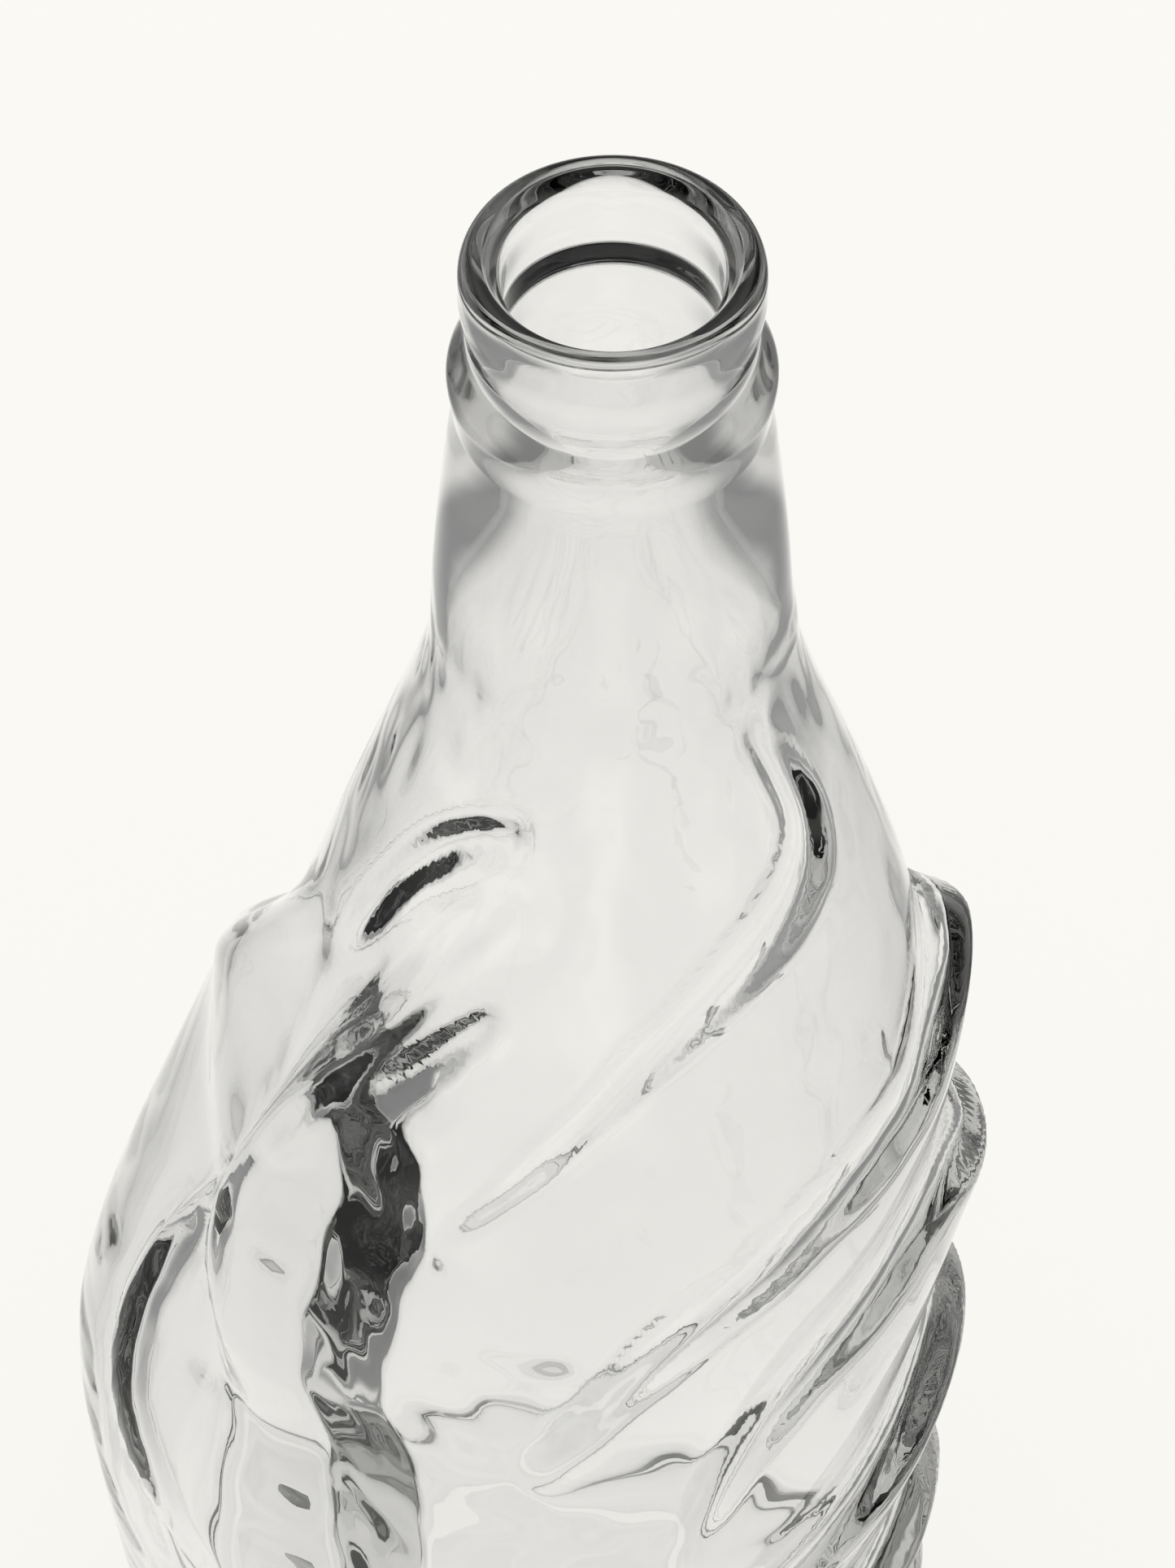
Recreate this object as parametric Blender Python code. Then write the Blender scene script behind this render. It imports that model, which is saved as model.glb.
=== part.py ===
"""Empty glass soda bottle with a crown finish and a free-form swirl of ledges round its body.

Units are metres, +Z is up. The neck axis is the bottle's own axis: the body bulges out from it
on one side. Depths are measured down from the lip, turns in degrees round the neck axis, from
the front (-Y) towards the right (+X).
"""

import bmesh
import bpy
import numpy as np

# Overall
HEIGHT = 0.210

# Crown finish, from the lip down
BORE_RADIUS = 0.0095
LAND_INNER_RADIUS = 0.0112
LAND_OUTER_RADIUS = 0.0120
LIP_RADIUS = 0.0133
LIP_ROUNDING = 0.0022
LIP_BAND = 0.0020
GROOVE_RADIUS = 0.01265
GROOVE_DEPTH = 0.0086
BEAD_RADIUS = 0.01435
BEAD_DEPTH = 0.0136
FINISH_LENGTH = 0.0178
COLLAR_RADIUS = 0.0139

# Neck and shoulder
NECK_LENGTH = 0.0262
NECK_RADIUS = 0.0161
NECK_SWELL = 1.5
SHOULDER_LENGTH = 0.098
SHOULDER_FULLNESS = 2.2
SHOULDER_TOE = 0.15

# Body, heel and base
BODY_RADIUS = 0.0356
TAPER_LENGTH = 0.044
TAPER = 0.0015
HEEL_HEIGHT = 0.008
STANDING_RADIUS = 0.0280
STANDING_WIDTH = 0.0035
PUSH_UP = 0.0030
CENTRE_RADIUS = 0.0030

# Glass thickness
NECK_WALL = 0.0030
BODY_WALL = 0.0025
BASE_THICKNESS = 0.0055
INNER_HEEL_HEIGHT = 0.013
INNER_FLOOR_RADIUS = 0.019
INNER_FOLLOW = 0.5

# The body and its base sit a little left of the neck axis, and the body is a soft trefoil in plan
LEAN = 0.0046
LEAN_TURN = -90.0
TREFOIL = 0.0024
TREFOIL_TURN = -88.0
TREFOIL_FALL = 0.050
SWELL_START = 0.078
SWELL_RISE = 0.082

# The wing: one big smooth bulge that climbs from behind the shoulder to the left side
WING_REACH = 0.0110
WING_START = 0.104
WING_RISE = 0.048
WING_RISE_EASE = 1.4
WING_HEEL = 0.024
WING_TURN = -99.0
WING_SWEEP = -30.0
WING_SWEEP_LENGTH = 0.060
WING_SWEEP_EASE = 1.7
WING_FRONT_WIDTH = 40.0
WING_FRONT_PINCH = 14.0
WING_PINCH_SHARE = 0.5
WING_BACK_WIDTH = 60.0

# The ledges: each runs down and round the body, and the glass below it stands out. Between the
# ledges the surface is a taut sheet that sinks back to the body
LEDGE_STEP = 0.005
LEDGE_HEEL = 0.014
LEDGE_MARGIN = 0.004
SHEET_REACH = 0.025
SHEET_HOLD = 400.0
FULL_HOLD_SHARE = 0.35

# Each ledge: edge rounding, then its points as (turn in degrees, per cent of the way down from
# the neck to the base, share of LEDGE_STEP)
LEDGES = {
    "front": (0.0010, [
        (51, 2.8, 0.00), (55, 4.4, 0.20), (58.5, 6.9, 0.36), (59.5, 9.4, 0.42), (56, 11.3, 0.44),
        (51, 12.4, 0.46), (43, 13.7, 0.48), (34, 14.9, 0.48), (23.5, 16.4, 0.48),
        (14.5, 18, 0.48), (6.5, 19.8, 0.48), (-1, 22, 0.48), (-9.5, 25, 0.45),
        (-17.5, 28.2, 0.38), (-25, 31.4, 0.25), (-31, 34.2, 0.00),
    ]),
    "left": (0.0022, [
        (-25, 9.5, 0.00), (-29, 11.4, 0.30), (-37, 14.2, 0.60), (-44.5, 17.8, 0.85),
        (-53, 22.3, 1.00), (-60.5, 26.8, 1.05), (-66.5, 32, 1.00), (-71, 37, 0.90),
        (-73, 41.9, 0.80), (-73, 46.1, 0.65), (-70, 50.3, 0.45), (-66, 56, 0.00),
    ]),
    "far_left": (0.0018, [
        (-73, 40, 0.00), (-78, 43.5, 0.40), (-83, 47.3, 0.60), (-85.5, 51.8, 0.70),
        (-85.5, 56.3, 0.70), (-84, 60, 0.68), (-81, 64, 0.62), (-77, 68, 0.55), (-73, 72, 0.40),
        (-70, 78, 0.00),
    ]),
    "right_first": (0.0017, [
        (126, 33.5, 0.00), (118, 31.6, 0.45), (112, 29.9, 0.80), (106, 28.5, 0.95),
        (100, 27.7, 0.98), (91, 27.7, 0.90), (83, 28.6, 0.78), (76, 29.7, 0.66), (70, 30.5, 0.58),
        (64, 31, 0.54), (56, 31.2, 0.54), (46, 31.8, 0.54), (37, 32.7, 0.54), (26, 34.6, 0.54),
        (14, 37.3, 0.52), (1.5, 41.8, 0.46), (-8, 47, 0.30), (-14, 51.5, 0.00),
    ]),
    "right_second": (0.0018, [
        (130, 48.6, 0.00), (118, 46.8, 0.50), (108, 45.4, 0.90), (100, 44.2, 1.00),
        (90, 42.6, 1.00), (78, 40.8, 0.92), (66, 39.8, 0.72), (57, 40.1, 0.62), (51, 40.6, 0.60),
        (42, 41.5, 0.60), (33.5, 42.8, 0.58), (26.5, 44.9, 0.54), (20, 48.2, 0.46),
        (15, 52.4, 0.34), (9, 59, 0.00),
    ]),
    "right_third": (0.0017, [
        (130, 62, 0.00), (118, 60.5, 0.50), (108, 59, 0.80), (100, 57.5, 0.90), (90, 55.6, 0.95),
        (78, 54, 0.95), (66, 53.4, 0.94), (57, 54.1, 0.92), (48, 55.6, 0.88), (38, 57.6, 0.78),
        (28, 60.2, 0.66), (18, 63.7, 0.50), (8, 68, 0.30), (-2, 72, 0.00),
    ]),
    "right_fourth": (0.0017, [
        (112, 75, 0.00), (98, 71.5, 0.50), (84, 68.6, 0.80), (70, 66.8, 0.85), (58, 66.4, 0.85),
        (46, 67.6, 0.80), (35, 69.7, 0.68), (21, 73.5, 0.40), (5, 79, 0.00),
    ]),
    "right_fifth": (0.0017, [
        (104, 83, 0.00), (88, 79, 0.40), (72, 76.8, 0.60), (58, 76.6, 0.60), (45, 78, 0.50),
        (28, 82, 0.30), (12, 87, 0.00),
    ]),
    "wing_top": (0.0040, [
        (-76, 19.5, 0.00), (-85, 23, 0.35), (-95, 27, 0.80), (-105, 31, 1.05), (-115, 35, 1.10),
        (-126, 39, 0.95), (-138, 43, 0.70), (-152, 47, 0.35), (-165, 51, 0.00),
    ]),
}

# Mesh fineness
SIDES = 64
LIP_STEPS = 3
GROOVE_STEPS = 2
NECK_RINGS = 6
SWIRL_RINGS = 48
INNER_RINGS = 16
HEEL_RINGS = 4
PUSH_UP_SHARES = (0.8, 0.5)
PATH_STEPS = 256
SHEET_LEVELS = ((128, 100, 400), (256, 200, 120))
SHEET_SOFTENING = 8
INNER_SOFTENING = 60
BAND_CELLS = 0.6
PATH_CELLS = 1.2
SHARP_ANGLE = 60.0

# Clear soda-lime glass
GLASS_COLOUR = (0.93, 0.95, 0.94, 1.0)
GLASS_ROUGHNESS = 0.03
GLASS_IOR = 1.52

# Depths that follow from the sizes above
NECK_FOOT = FINISH_LENGTH + NECK_LENGTH
HEEL_TOP = HEIGHT - HEEL_HEIGHT
INNER_HEEL_TOP = HEIGHT - BASE_THICKNESS - INNER_HEEL_HEIGHT
SHEET_TOP = NECK_FOOT - LEDGE_MARGIN
SHEET_FOOT = HEEL_TOP + LEDGE_MARGIN


def smooth(t):
    """0 below 0, 1 above 1, and a soft S in between."""
    t = np.clip(t, 0.0, 1.0)
    return t * t * (3.0 - 2.0 * t)


def turned_finish(depth):
    """Radius of the crown finish: lip, groove, bead and collar."""
    into_rounding = np.clip(1.0 - depth / LIP_ROUNDING, 0.0, 1.0)
    rounding = (LIP_RADIUS - LAND_OUTER_RADIUS) * (1.0 - np.sqrt(1.0 - into_rounding**2))
    lip_foot = LIP_ROUNDING + LIP_BAND
    to_groove = smooth((depth - lip_foot) / (GROOVE_DEPTH - lip_foot))
    to_bead = smooth((depth - GROOVE_DEPTH) / (BEAD_DEPTH - GROOVE_DEPTH))
    to_collar = smooth((depth - BEAD_DEPTH) / (FINISH_LENGTH - BEAD_DEPTH))
    radius = LIP_RADIUS - rounding + (GROOVE_RADIUS - LIP_RADIUS) * to_groove
    return radius + (BEAD_RADIUS - GROOVE_RADIUS) * to_bead + (COLLAR_RADIUS - BEAD_RADIUS) * to_collar


def turned_body(depth):
    """Radius of neck, shoulder and body before the swirl is added."""
    down_neck = np.clip((depth - FINISH_LENGTH) / NECK_LENGTH, 0.0, 1.0)
    neck = NECK_RADIUS - (NECK_RADIUS - COLLAR_RADIUS) * (1.0 - down_neck) ** NECK_SWELL
    down_shoulder = np.clip((depth - NECK_FOOT) / SHOULDER_LENGTH, 0.0, 1.0)
    eased = down_shoulder**2 * (1.0 + SHOULDER_TOE) / (down_shoulder + SHOULDER_TOE)
    shoulder = (BODY_RADIUS - NECK_RADIUS) * (1.0 - (1.0 - eased) ** SHOULDER_FULLNESS)
    taper = TAPER * smooth((depth - HEEL_TOP + TAPER_LENGTH) / TAPER_LENGTH)
    return neck + shoulder - taper


def lean_and_trefoil(turn, depth):
    """Lift of the slow swell that makes the body lean left and bulge at three places."""
    rise = smooth((depth - SWELL_START) / SWELL_RISE)
    fall = smooth((HEEL_TOP - depth) / TREFOIL_FALL)
    lean = LEAN * np.cos(np.radians(turn - LEAN_TURN))
    trefoil = TREFOIL * np.cos(3.0 * np.radians(turn - TREFOIL_TURN))
    return (lean + trefoil * fall) * rise


def wing(turn, depth):
    """Lift of the big smooth bulge on the left."""
    risen = np.clip((depth - WING_START) / WING_RISE, 0.0, 1.0)
    into_heel = np.clip((depth - HEIGHT + WING_HEEL) / WING_HEEL, 0.0, 1.0)
    reach = WING_REACH * (1.0 - (1.0 - risen) ** WING_RISE_EASE) * (1.0 - into_heel**2)
    swept = np.clip((depth - WING_START) / WING_SWEEP_LENGTH, 0.0, 1.0)
    centre = WING_TURN + WING_SWEEP * (1.0 - swept) ** WING_SWEEP_EASE
    front_width = WING_FRONT_WIDTH - WING_FRONT_PINCH * (1.0 - smooth(risen / WING_PINCH_SHARE))
    away = (turn - centre + 180.0) % 360.0 - 180.0
    across = smooth(1.0 - np.where(away > 0.0, away / front_width, -away / WING_BACK_WIDTH))
    return reach * across


def flow(points):
    """Places along a smooth curve through the points, evenly spaced by turn and depth."""
    points = np.array(points)
    points[:, 1] = NECK_FOOT + (HEIGHT - NECK_FOOT) * points[:, 1] / 100.0
    around = np.radians(points[:, 0]) * BODY_RADIUS
    lengths = np.hypot(np.diff(around), np.diff(points[:, 1]))
    at = np.concatenate([[0.0], np.cumsum(lengths)])
    slopes = np.gradient(points, at, axis=0)
    wanted = np.linspace(0.0, at[-1], PATH_STEPS)
    span = np.clip(np.searchsorted(at, wanted, side="right") - 1, 0, len(at) - 2)
    length = (at[span + 1] - at[span])[:, None]
    u = (wanted - at[span])[:, None] / length
    start = (1.0 + 2.0 * u) * (1.0 - u) ** 2 * points[span]
    end = u**2 * (3.0 - 2.0 * u) * points[span + 1]
    bend = u * (1.0 - u) ** 2 * slopes[span] - u**2 * (1.0 - u) * slopes[span + 1]
    return start + end + bend * length


def held_cells(turns, depths):
    """Where the ledges hold the sheet: the lift each cell is held at, and how firmly."""
    cell_turn = turns[1] - turns[0]
    cell_depth = depths[1] - depths[0]
    cell = max(cell_depth, np.radians(cell_turn) * BODY_RADIUS)
    finest = min(cell_depth, np.radians(cell_turn) * NECK_RADIUS)
    radii = turned_body(depths)
    lift = np.zeros((len(depths), len(turns)))
    hold = np.zeros(lift.shape)
    for rounding, points in LEDGES.values():
        path = flow(points)
        along = np.gradient(path, axis=0)
        window = int(np.ceil((rounding + PATH_CELLS * cell) / finest)) + 1
        steps = np.arange(-window, window + 1)
        sideways, downwards = (grid.ravel() for grid in np.meshgrid(steps, steps))
        column = np.round((path[:, :1] - turns[0]) / cell_turn).astype(int) + sideways
        row = np.round((path[:, 1:2] - depths[0]) / cell_depth).astype(int) + downwards
        inside = (row >= 0) & (row < len(depths))
        row = np.clip(row, 0, len(depths) - 1)
        right = np.radians(turns[0] + column * cell_turn - path[:, :1]) * radii[row]
        down = depths[row] - path[:, 1:2]
        ahead_right = np.radians(along[:, :1]) * radii[row]
        ahead_down = np.broadcast_to(along[:, 1:2], row.shape)
        stride = np.hypot(ahead_right, ahead_down)
        from_edge = (ahead_down * right - ahead_right * down) / stride
        onward = np.abs(ahead_right * right + ahead_down * down) / stride
        near = inside & (np.abs(from_edge) <= rounding + BAND_CELLS * cell)
        near &= onward <= PATH_CELLS * cell
        nearest_last = np.argsort(-np.hypot(right, down)[near])
        spot = (row[near][nearest_last], column[near][nearest_last] % len(turns))
        share = np.broadcast_to(path[:, 2:], row.shape)[near][nearest_last]
        edge = smooth((from_edge[near][nearest_last] + rounding) / (2.0 * rounding))
        own_lift = np.zeros(lift.shape)
        own_hold = np.full(lift.shape, -1.0)
        own_lift[spot] = LEDGE_STEP * share * edge
        own_hold[spot] = SHEET_HOLD * smooth(share / (FULL_HOLD_SHARE * path[:, 2].max()))
        firmer = own_hold >= hold
        lift[firmer] = own_lift[firmer]
        hold[firmer] = own_hold[firmer]
    return lift, hold


def neighbours(sheet):
    """Sum of each cell's four neighbours. The sheet closes on itself round the bottle."""
    above = np.vstack([sheet[:1], sheet[:-1]])
    below = np.vstack([sheet[1:], sheet[-1:]])
    return above + below + np.roll(sheet, 1, axis=1) + np.roll(sheet, -1, axis=1)


def softened(sheet, passes):
    for _ in range(passes):
        sheet = (4.0 * sheet + neighbours(sheet)) / 8.0
    return sheet


def swirl_sheet():
    """Lift of the swirl on a grid of depths and turns, worked out coarsely and then finer."""
    sheet = np.zeros((1, 1))
    for across, down, passes in SHEET_LEVELS:
        turns = np.arange(across) * 360.0 / across
        depths = np.linspace(SHEET_TOP, SHEET_FOOT, down)
        lift, hold = held_cells(turns, depths)
        cell = (depths[1] - depths[0] + np.radians(turns[1]) * BODY_RADIUS) / 2.0
        sink = (cell / SHEET_REACH) ** 2
        sheet = np.repeat(sheet, down // len(sheet), axis=0)
        sheet = np.repeat(sheet, across // sheet.shape[1], axis=1)
        for _ in range(passes):
            sheet = (neighbours(sheet) + hold * lift) / (4.0 + sink + hold)
    return softened(sheet, SHEET_SOFTENING)


def swirl(sheet, turn, depth):
    """The sheet's lift at any place, fading out at the neck and above the heel."""
    rows, columns = sheet.shape
    row = np.clip((depth - SHEET_TOP) / (SHEET_FOOT - SHEET_TOP), 0.0, 1.0) * (rows - 1)
    column = turn % 360.0 / 360.0 * columns
    upper = np.minimum(row.astype(int), rows - 2)
    left = column.astype(int) % columns
    right = (left + 1) % columns
    down = row - upper
    across = column - column.astype(int)
    above = sheet[upper, left] * (1.0 - across) + sheet[upper, right] * across
    below = sheet[upper + 1, left] * (1.0 - across) + sheet[upper + 1, right] * across
    lift = above * (1.0 - down) + below * down
    return lift * smooth((depth - SHEET_TOP) / LEDGE_MARGIN) * smooth((HEEL_TOP - depth) / LEDGE_HEEL)


def outer_radius(turn, depth):
    body = turned_body(depth) + lean_and_trefoil(turn, depth) + wing(turn, depth)
    return body + swirl(OUTER_SHEET, turn, depth)


def inner_radius(turn, depth):
    """The bore, and below the neck a softened copy of the outside, one wall in."""
    body = turned_body(depth) + lean_and_trefoil(turn, depth) + wing(turn, depth)
    follow = INNER_FOLLOW * swirl(INNER_SHEET, turn, depth)
    wall = NECK_WALL + (BODY_WALL - NECK_WALL) * smooth((depth - NECK_FOOT) / SHOULDER_LENGTH)
    opened = smooth((depth - FINISH_LENGTH) / NECK_LENGTH)
    return BORE_RADIUS + (body + follow - wall - BORE_RADIUS) * opened


def ring(radius, depth):
    """One ring of places round the neck axis. The radius is one value, or one for each side."""
    turns = np.radians(TURNS)
    radius = np.broadcast_to(radius, turns.shape)
    height = np.full(turns.shape, HEIGHT - depth)
    return np.stack([radius * np.sin(turns), -radius * np.cos(turns), height], axis=1)


def base_ring(radius, depth):
    """One round ring about the base's centre, which the lean has moved off the neck axis."""
    lean = np.radians(LEAN_TURN)
    return ring(radius, depth) + [LEAN * np.sin(lean), -LEAN * np.cos(lean), 0.0]


def round_over(top, bottom, sides):
    """Rings along a quarter round, from an upright wall at top to a level floor at bottom."""
    rings = []
    for angle in np.linspace(0.0, np.pi / 2.0, sides + 1)[1:]:
        level = bottom + (top - bottom) * np.cos(angle)
        level[:, 2] = top[:, 2] + (bottom[:, 2] - top[:, 2]) * np.sin(angle)
        rings.append(level)
    return rings


def lip_rings():
    """From the bore's edge over the flat land to the start of the neck."""
    quarter = np.linspace(0.0, np.pi / 2.0, LIP_STEPS + 1)
    width = LAND_INNER_RADIUS - BORE_RADIUS
    rings = [
        ring(LAND_INNER_RADIUS - width * np.cos(angle), LIP_ROUNDING * (1.0 - np.sin(angle)))
        for angle in quarter[:-1]
    ]
    rings.append(ring(LAND_INNER_RADIUS, 0.0))
    lip_foot = LIP_ROUNDING + LIP_BAND
    depths = np.concatenate([
        LIP_ROUNDING * (1.0 - np.cos(quarter)),
        [lip_foot],
        np.linspace(lip_foot, GROOVE_DEPTH, GROOVE_STEPS + 1)[1:],
        np.linspace(GROOVE_DEPTH, BEAD_DEPTH, LIP_STEPS + 1)[1:],
        np.linspace(BEAD_DEPTH, FINISH_LENGTH, GROOVE_STEPS + 1)[1:],
    ])
    return rings + [ring(turned_finish(depth), depth) for depth in depths]


def body_rings():
    """Neck, shoulder and swirled body, down to the heel's rounding."""
    neck = np.linspace(FINISH_LENGTH, NECK_FOOT, NECK_RINGS + 1)[1:]
    swirled = np.linspace(NECK_FOOT, HEEL_TOP, SWIRL_RINGS + 1)[1:]
    depths = np.concatenate([neck, swirled])
    return [ring(outer_radius(TURNS, np.full(SIDES, depth)), depth) for depth in depths]


def base_rings():
    """Heel rounding, flat standing ring and push-up."""
    top = ring(outer_radius(TURNS, np.full(SIDES, HEEL_TOP)), HEEL_TOP)
    rings = round_over(top, base_ring(STANDING_RADIUS, HEIGHT), HEEL_RINGS)
    inner_edge = STANDING_RADIUS - STANDING_WIDTH
    rings.append(base_ring(inner_edge, HEIGHT))
    for share in PUSH_UP_SHARES:
        rings.append(base_ring(inner_edge * share, HEIGHT - PUSH_UP * (1.0 - share**2)))
    rings.append(base_ring(CENTRE_RADIUS, HEIGHT - PUSH_UP))
    return rings


def inside_rings():
    """From the bore's edge down the inside to the floor's centre."""
    depths = np.linspace(LIP_ROUNDING, FINISH_LENGTH, GROOVE_STEPS + 1)[1:]
    rings = [ring(BORE_RADIUS, depth) for depth in depths]
    for depth in np.linspace(FINISH_LENGTH, INNER_HEEL_TOP, INNER_RINGS + 1)[1:]:
        rings.append(ring(inner_radius(TURNS, np.full(SIDES, depth)), depth))
    floor = HEIGHT - BASE_THICKNESS
    rings += round_over(rings[-1], base_ring(INNER_FLOOR_RADIUS, floor), HEEL_RINGS)
    for share in PUSH_UP_SHARES:
        rings.append(base_ring(INNER_FLOOR_RADIUS * share, floor - PUSH_UP * (1.0 - share**2)))
    rings.append(base_ring(CENTRE_RADIUS, floor - PUSH_UP))
    return rings


def skin(name, rings):
    """A closed surface: the first ring is extruded to each of the next, and both ends capped."""
    shell = bmesh.new()
    made = bmesh.ops.create_circle(shell, segments=len(rings[0]), radius=BORE_RADIUS)
    loop = made["verts"]
    edges = [edge for edge in shell.edges]
    bmesh.ops.contextual_create(shell, geom=edges)
    for vert, place in zip(loop, rings[0]):
        vert.co = place
    for places in rings[1:]:
        extruded = bmesh.ops.extrude_edge_only(shell, edges=edges)["geom"]
        fresh = {item for item in extruded if isinstance(item, bmesh.types.BMVert)}
        step = {}
        for vert in loop:
            step[vert] = next(e.other_vert(vert) for e in vert.link_edges if e.other_vert(vert) in fresh)
        loop = [step[vert] for vert in loop]
        edges = [item for item in extruded if isinstance(item, bmesh.types.BMEdge)
                 and item.verts[0] in fresh and item.verts[1] in fresh]
        for vert, place in zip(loop, places):
            vert.co = place
    bmesh.ops.contextual_create(shell, geom=edges)
    bmesh.ops.recalc_face_normals(shell, faces=shell.faces)
    mesh = bpy.data.meshes.new(name)
    shell.to_mesh(mesh)
    shell.free()
    mesh.shade_smooth()
    mesh.set_sharp_from_angle(angle=np.radians(SHARP_ANGLE))
    return mesh


def clear_glass():
    material = bpy.data.materials.new("clear_glass")
    material.use_nodes = True
    shader = material.node_tree.nodes["Principled BSDF"]
    shader.inputs["Base Color"].default_value = GLASS_COLOUR
    shader.inputs["Metallic"].default_value = 0.0
    shader.inputs["Roughness"].default_value = GLASS_ROUGHNESS
    shader.inputs["IOR"].default_value = GLASS_IOR
    shader.inputs["Transmission Weight"].default_value = 1.0
    return material


def clear_scene():
    for obj in list(bpy.data.objects):
        bpy.data.objects.remove(obj, do_unlink=True)


def make_bottle():
    """One node: the bottle is a single piece of glass, outside and inside skins in one."""
    rings = inside_rings()[::-1] + lip_rings() + body_rings() + base_rings()
    bottle = bpy.data.objects.new("bottle", skin("bottle", rings))
    bpy.context.scene.collection.objects.link(bottle)
    bottle.data.materials.append(clear_glass())
    places = np.concatenate(rings)
    middle = (places.min(axis=0) + places.max(axis=0)) / 2.0
    bottle.location = (-middle[0], -middle[1], 0.0)
    return bottle


TURNS = np.arange(SIDES) * 360.0 / SIDES
OUTER_SHEET = swirl_sheet()
INNER_SHEET = softened(OUTER_SHEET, INNER_SOFTENING)

clear_scene()
make_bottle()
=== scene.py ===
# %% [markdown]
# # A swirled soda bottle in clear glass
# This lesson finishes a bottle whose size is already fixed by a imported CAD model. The bottle is one
# blown piece of soda-lime glass: a crown finish, a slim neck, and a body wrapped in a swirl of
# ledges. Glass has no colour of its own, so almost everything the eye sees is the room bent by its
# two skins. That is why the mesh here is much finer than the CAD one, and why the studio matters.

import bpy
import numpy as np
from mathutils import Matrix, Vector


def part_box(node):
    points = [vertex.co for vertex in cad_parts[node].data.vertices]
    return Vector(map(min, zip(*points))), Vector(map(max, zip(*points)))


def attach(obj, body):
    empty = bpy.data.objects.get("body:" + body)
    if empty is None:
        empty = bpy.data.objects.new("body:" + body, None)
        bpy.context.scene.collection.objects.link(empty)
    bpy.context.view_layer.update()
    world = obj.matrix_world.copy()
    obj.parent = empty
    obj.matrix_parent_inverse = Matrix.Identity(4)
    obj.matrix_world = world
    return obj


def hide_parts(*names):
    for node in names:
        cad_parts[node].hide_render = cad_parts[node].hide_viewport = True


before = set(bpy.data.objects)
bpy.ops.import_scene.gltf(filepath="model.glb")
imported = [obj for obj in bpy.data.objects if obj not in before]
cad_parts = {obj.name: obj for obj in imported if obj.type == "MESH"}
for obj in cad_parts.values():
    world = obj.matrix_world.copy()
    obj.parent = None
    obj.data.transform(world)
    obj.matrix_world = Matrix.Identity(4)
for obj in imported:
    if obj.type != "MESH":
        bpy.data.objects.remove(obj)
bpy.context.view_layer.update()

bottle_low, bottle_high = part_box("bottle")
HEIGHT = bottle_high.z - bottle_low.z

# %% [markdown]
# The body bulges to one side, so the neck does not stand over the middle of the box. Everything is
# turned round the neck axis, so the first thing to find is where that axis is: it is the middle of
# the CAD model's topmost ring.

# %% Find the neck axis
TOP_BAND = 0.0005
corners = np.array([vert.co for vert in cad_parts["bottle"].data.vertices])
lip = corners[corners[:, 2] > bottle_high.z - TOP_BAND]
AXIS_X, AXIS_Y = (lip.min(axis=0) + lip.max(axis=0))[:2] / 2.0
print(f"neck axis at {1000 * AXIS_X:.2f}, {1000 * AXIS_Y:.2f} mm")

# %% [markdown]
# ## The camera
# The camera stands 0.7 m from the mouth, 45 degrees above it, and is tipped a little under 50
# degrees below level. A long lens keeps the round mouth and the body in nearly the same scale. The
# camera is turned a fraction of a degree to its left, so the neck stands just right of the middle.

# %% Set up the camera
CAMERA_DISTANCE = 0.700
CAMERA_RISE = 45.2
CAMERA_PITCH = 48.83
CAMERA_YAW = 0.281
LENS = 190.3
SENSOR = 36.0
NEAR_CLIP = 0.01

rise = np.radians(CAMERA_RISE)
in_front = CAMERA_DISTANCE * np.cos(rise)
above_lip = CAMERA_DISTANCE * np.sin(rise)
bpy.ops.object.camera_add(
    location=(AXIS_X, AXIS_Y - in_front, HEIGHT + above_lip),
    rotation=(np.radians(90.0 - CAMERA_PITCH), 0.0, np.radians(CAMERA_YAW)),
)
camera = bpy.context.object
camera.name = "studio_camera"
camera.data.lens = LENS
camera.data.sensor_width = SENSOR
camera.data.clip_start = NEAR_CLIP
bpy.context.scene.camera = camera
print("camera at", [round(value, 3) for value in camera.location])

# %% [markdown]
# ## The sizes
# Lengths are in metres. Depths are measured down from the lip, and turns in degrees round the neck
# axis, from the front (-Y) towards the right (+X). They are the CAD model's own sizes, drawn in by
# a hair so that the finer mesh stays inside the CAD box.

# %% Sizes of the crown finish, neck and body
INSET = 0.00005
BORE_RADIUS = 0.0095
LAND_INNER_RADIUS = 0.0112
LAND_OUTER_RADIUS = 0.0120
LIP_RADIUS = 0.0133 - INSET
LIP_ROUNDING = 0.0022
LIP_BAND = 0.0020
FLARE_DEPTH = 0.0030
FLARE_BEND = 1.6
GROOVE_RADIUS = 0.01265
GROOVE_DEPTH = 0.0086
BEAD_RADIUS = 0.01435
BEAD_DEPTH = 0.0136
FINISH_LENGTH = 0.0178
COLLAR_RADIUS = 0.0139
NECK_LENGTH = 0.0262
NECK_RADIUS = 0.0161
NECK_SWELL = 1.5
SHOULDER_LENGTH = 0.098
SHOULDER_FULLNESS = 2.2
SHOULDER_TOE = 0.15
BODY_RADIUS = 0.0356 - INSET
TAPER_LENGTH = 0.044
TAPER = 0.0015
HEEL_HEIGHT = 0.008
STANDING_RADIUS = 0.0280
STANDING_WIDTH = 0.0035
PUSH_UP = 0.0030
NECK_WALL = 0.0030
BODY_WALL = 0.0025
BASE_THICKNESS = 0.0055
INNER_HEEL_HEIGHT = 0.013
INNER_FLOOR_RADIUS = 0.019

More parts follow.
